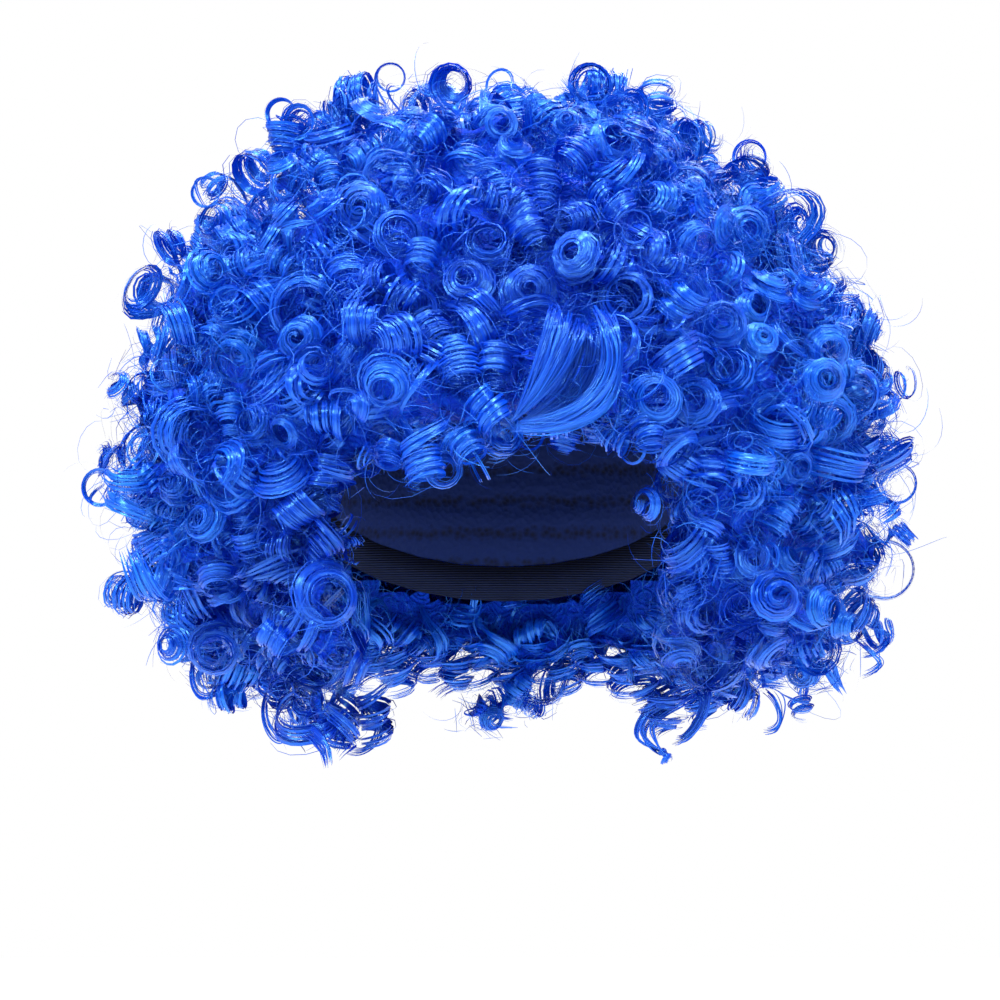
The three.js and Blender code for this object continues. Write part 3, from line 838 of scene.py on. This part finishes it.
def fuzz(places, outward):
    """Short curved fibres that lie over the hair in every direction."""
    count = len(places)
    first, second = tangents(outward)
    t = np.linspace(-0.5, 0.5, FUZZ["rings"])[None, :]
    names = ("length", "curve", "level", "slope")
    length, curve, level, slope = [uniform(FUZZ[name], (count, 1)) * MM for name in names]
    centres = (
        places[:, None]
        + (length * t)[..., None] * first[:, None]
        + (curve * (4 * t**2 - 0.5))[..., None] * second[:, None]
        + (level + slope * t)[..., None] * outward[:, None]
    )
    roll = uniform((0, TAU), (count, 1, 1))
    across = np.cos(roll) * second[:, None] + np.sin(roll) * outward[:, None]
    widths = uniform(FUZZ["width"], (count, 1)) * MM * (1 - 2.2 * t**2)
    return batch(centres, across, widths, RNG.random((count, 3)))


def loops(places, outward):
    """Thin open loops and hooks of a few fibres that stand off the outline."""
    count = len(places)
    first, second = tangents(outward)
    t = np.linspace(0, 1, LOOPS["rings"])[None, None, :]
    one = (count, 1, 1)
    shape = (count, LOOPS["strands"], 1)
    radius = uniform(LOOPS["radius"], one) * MM + RNG.normal(0, 0.25 * MM, shape)
    turn = uniform(LOOPS["turns"], one) * TAU
    angle = -math.pi / 2 + turn * t + RNG.normal(0, 0.05, shape)
    reach = radius * (1 - uniform(LOOPS["narrowing"], one) * t)
    drift = uniform(LOOPS["drift"], one) * MM * t + RNG.normal(0, 0.35 * MM, shape)
    stand = uniform(LOOPS["stand"], one) * MM
    centres = (
        places[:, None, None]
        + (reach * np.cos(angle))[..., None] * first[:, None, None]
        + (stand + reach * np.sin(angle))[..., None] * outward[:, None, None]
        + drift[..., None] * second[:, None, None]
    )
    roll = uniform(LOOPS["roll"], shape)[..., None]
    radial = np.cos(angle)[..., None] * first[:, None, None]
    radial = radial + np.sin(angle)[..., None] * outward[:, None, None]
    across = np.cos(roll) * second[:, None, None] + np.sin(roll) * radial
    widths = uniform(LOOPS["width"], shape) * MM * np.minimum(1, (1 - t) * 5 + 0.3)
    return batch(centres, across, widths, RNG.random((count, LOOPS["strands"], 3)))


def frizz(places, outward):
    """Long loose single fibres in wide curls."""
    count = len(places)
    first, second = tangents(outward)
    t = np.linspace(0, 1, FRIZZ["rings"])[None, :]
    size = uniform(FRIZZ["size"], (count, 1)) * MM
    angle = uniform(FRIZZ["bend"], (count, 1)) * t
    rise = uniform(FRIZZ["rise"], (count, 1)) * MM
    run = uniform(FRIZZ["run"], (count, 1)) * MM
    centres = (
        places[:, None]
        + (size * np.sin(angle))[..., None] * first[:, None]
        + (size * (1 - np.cos(angle)) * 0.6 + rise * t)[..., None] * outward[:, None]
        + (run * t)[..., None] * second[:, None]
    )
    roll = uniform((0, TAU), (count, 1, 1))
    across = np.cos(roll) * second[:, None] + np.sin(roll) * outward[:, None]
    widths = uniform(FRIZZ["width"], (count, 1)) * MM * np.minimum(1, (1 - t) * 3 + 0.3)
    return batch(centres, across, widths, RNG.random((count, 3)))


def ribbon_points(part):
    """The points of each ribbon, by ribbon, ring and side."""
    forward = unit(np.gradient(part["centres"], axis=1))
    across = part["across"]
    across = unit(across - forward * (across * forward).sum(axis=-1, keepdims=True))
    half = part["widths"][..., None, None] / 2
    return part["centres"][:, :, None] + half * np.array([[-1.0], [1.0]]) * across[:, :, None]


class HairMesh:
    """Gathers ribbons and a mat into one mesh with its maps, materials and random numbers."""

    def __init__(self):
        self.points = []
        self.faces = []
        self.strand = []
        self.bake = []
        self.lock = []
        self.slots = []
        self.point_count = 0
        self.ribbon_count = 0

    def add_ribbons(self, part, ribbons_in_all):
        """Adds a batch: its quads, where each corner lies along and across, and its cell of the bake map."""
        points = ribbon_points(part)
        ribbons, rings, corners = points.shape[:3]
        steps = np.linalg.norm(np.diff(part["centres"], axis=1), axis=-1)
        along = np.concatenate([np.zeros((ribbons, 1)), np.cumsum(steps, axis=1)], axis=1)
        along = np.broadcast_to(along[:, :, None], (ribbons, rings, corners))
        across = np.broadcast_to(np.linspace(0, 1, corners), along.shape)
        index = np.arange(ribbons * rings * corners).reshape(ribbons, rings, corners)
        quads = [index[:, :-1, :-1], index[:, :-1, 1:], index[:, 1:, 1:], index[:, 1:, :-1]]
        quads = np.stack(quads, axis=-1).reshape(-1, 4)
        cell = (self.ribbon_count + np.arange(ribbons))[:, None, None]
        rows = math.ceil(ribbons_in_all / BAKE_COLUMNS)
        bake_u = (cell % BAKE_COLUMNS + 0.96 * along / along[:, -1:, :1]) / BAKE_COLUMNS
        bake_v = (cell // BAKE_COLUMNS + 0.1 + 0.8 * across) / rows
        self.points.append(points.reshape(-1, 3))
        self.faces.append(quads + self.point_count)
        self.strand.append(np.stack([along, across], axis=-1).reshape(-1, 2)[quads])
        self.bake.append(np.stack([bake_u, bake_v], axis=-1).reshape(-1, 2)[quads])
        self.lock.append(np.repeat(part["lock"], rings * corners, axis=0))
        self.slots.append(np.zeros(len(quads), np.int32))
        self.point_count += len(index.reshape(-1))
        self.ribbon_count += ribbons

    def add_mat(self, points, faces):
        """Adds matted hair."""
        self.points.append(points)
        self.faces.append(faces + self.point_count)
        self.strand.append(points[faces][:, :, [0, 2]])
        self.bake.append(np.zeros((*faces.shape, 2)))
        self.lock.append(np.zeros((len(points), 3)))
        self.slots.append(np.ones(len(faces), np.int32))
        self.point_count += len(points)

    def make(self, name, materials):
        """The mesh object."""
        points, faces, lock = [np.concatenate(parts) for parts in (self.points, self.faces, self.lock)]
        mesh = bpy.data.meshes.new(name)
        mesh.vertices.add(len(points))
        mesh.vertices.foreach_set("co", points.reshape(-1))
        mesh.loops.add(faces.size)
        mesh.loops.foreach_set("vertex_index", faces.reshape(-1).astype(np.int32))
        mesh.polygons.add(len(faces))
        mesh.polygons.foreach_set("loop_start", np.arange(0, faces.size, 4, dtype=np.int32))
        mesh.polygons.foreach_set("use_smooth", np.ones(len(faces), bool))
        mesh.polygons.foreach_set("material_index", np.concatenate(self.slots))
        mesh.update(calc_edges=True)
        for map_name, values in (("OFBake", self.bake), ("strand", self.strand)):
            layer = mesh.uv_layers.new(name=map_name)
            layer.uv.foreach_set("vector", np.concatenate(values).astype(np.float32).reshape(-1))
        attribute = mesh.attributes.new("lock", "FLOAT_VECTOR", "POINT")
        attribute.data.foreach_set("vector", lock.astype(np.float32).reshape(-1))
        for material in materials:
            mesh.materials.append(material)
        piece = bpy.data.objects.new(name, mesh)
        bpy.context.scene.collection.objects.link(piece)
        return piece


def hair_batches(skin):
    """Every ribbon of the wig: pairs of the CAD node that it belongs to and a batch."""
    tree = BVHTree.FromPolygons(skin[0].tolist(), skin[2].tolist())
    grown = []

    def sort(places, outward, home, make):
        """Makes hair at places, one CAD node at a time."""
        places = settled(places, outward)
        for node in HAIR_NODES:
            mine = home == node
            grown.extend((node, part) for part in make(places[mine], outward[mine]))

    def stand_off(row):
        """The place of a ringlet that stands on the front of the hair."""
        place, outward = on_front(tree, *row.get("behind", row["at"]))
        x, z = px(*row["at"])
        return np.array([x, place[1], z]) + outward * row["stand"] * MM, outward

    placed = placed_coils(SPECIAL_RINGLETS, stand_off, RIBBONS)
    taken = np.array([place for place, _ in placed])
    placed += placed_coils(OUTLINE_RINGLETS, on_outline, THIN_RIBBONS)
    placed += placed_coils(EDGE_RINGLETS, on_outline, RIBBONS)
    for place, parts in placed:
        grown.extend((homes([place])[0], part) for part in parts)
    for row in LOCKS:
        part = curved_lock(row, tree)
        grown.append((homes([part["centres"].mean(axis=(0, 1))])[0], part))

    sort(
        *grow(skin, RINGLET_TRIES, UNDERGROWTH_SPACING),
        lambda places, outward: spread_coils(places, outward, UNDERGROWTH, UNDERGROWTH_RIBBONS),
    )
    places, outward, home = grow(skin, RINGLET_TRIES, RINGLET_SPACING)
    sweep = on_front(tree, *SWEEP_MIDDLE)[0]
    clear = np.linalg.norm(places[:, None] - taken[None], axis=-1).min(axis=1) > CLEARANCE
    clear &= np.linalg.norm(places - sweep, axis=1) > SWEEP_REACH
    shares = np.cumsum([kind["share"] for kind in RINGLET_KINDS])
    kinds = np.searchsorted(shares, RNG.random(len(places)) * shares[-1])
    for number, kind in enumerate(RINGLET_KINDS):
        mine = clear & (kinds == number)
        sort(
            places[mine], outward[mine], home[mine],
            lambda places, outward, kind=kind: spread_coils(places, outward, kind, RIBBONS),
        )
    for form, make in ((FUZZ, fuzz), (LOOPS, loops), (FRIZZ, frizz)):
        grown_places = grow(skin, form["count"], form["spacing"] * MM)
        sort(*grown_places, lambda places, outward, make=make: [make(places, outward)])
    # Painted shade: each ribbon's tone is lowered where it lies in a place of painted shade
    for _, part in grown:
        part["lock"][:, 0] -= painted_shade(part["centres"].mean(axis=1))
    return grown


def pieces_of(parts):
    """Batches split into pieces that each stay under a number of triangles."""
    pieces = [[]]
    load = 0
    for part in parts:
        size = 2 * len(part["centres"]) * (part["centres"].shape[1] - 1)
        if load + size > PIECE_TRIANGLES:
            pieces.append([])
            load = 0
        pieces[-1].append(part)
        load += size
    return pieces


def dress_hair():
    """The ribbons of each CAD node of hair, in pieces, and its mat in the first of them."""
    materials = [hair_material(), mat_material()]
    skin = skin_round(HAIR_NODES + CLOTH_NODES)
    points, normals, faces, home = skin
    mat_points = points - (MAT_INSET - sinking(points))[:, None] * normals
    grown = hair_batches(skin)
    for node in HAIR_NODES:
        mine = [part for owner, part in grown if owner == node and len(part["centres"])]
        for number, parts in enumerate(pieces_of(mine), start=1):
            hair = HairMesh()
            ribbons = sum(len(part["centres"]) for part in parts)
            for part in parts:
                hair.add_ribbons(part, ribbons)
            if number == 1:
                used, corners = np.unique(faces[home == node], return_inverse=True)
                hair.add_mat(mat_points[used], corners.reshape(-1, 4))
            piece = hair.make(f"{node}_hair_{number}", materials)
            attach(piece, "root")
            if number == 1:
                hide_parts(node)


def dress_cloth(node, material):
    """A smooth copy of a cloth CAD node, in its own material."""
    mesh = welded([node])
    mesh.name = node + "_cloth"
    mesh.materials.clear()
    mesh.materials.append(material)
    mesh.shade_smooth()
    piece = bpy.data.objects.new(node + "_cloth", mesh)
    bpy.context.scene.collection.objects.link(piece)
    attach(piece, "root")
    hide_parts(node)


add_camera()
add_stage()
add_lights()
dress_hair()
dress_cloth("wig_cap", cap_material())
dress_cloth("edge_band", elastic_material())
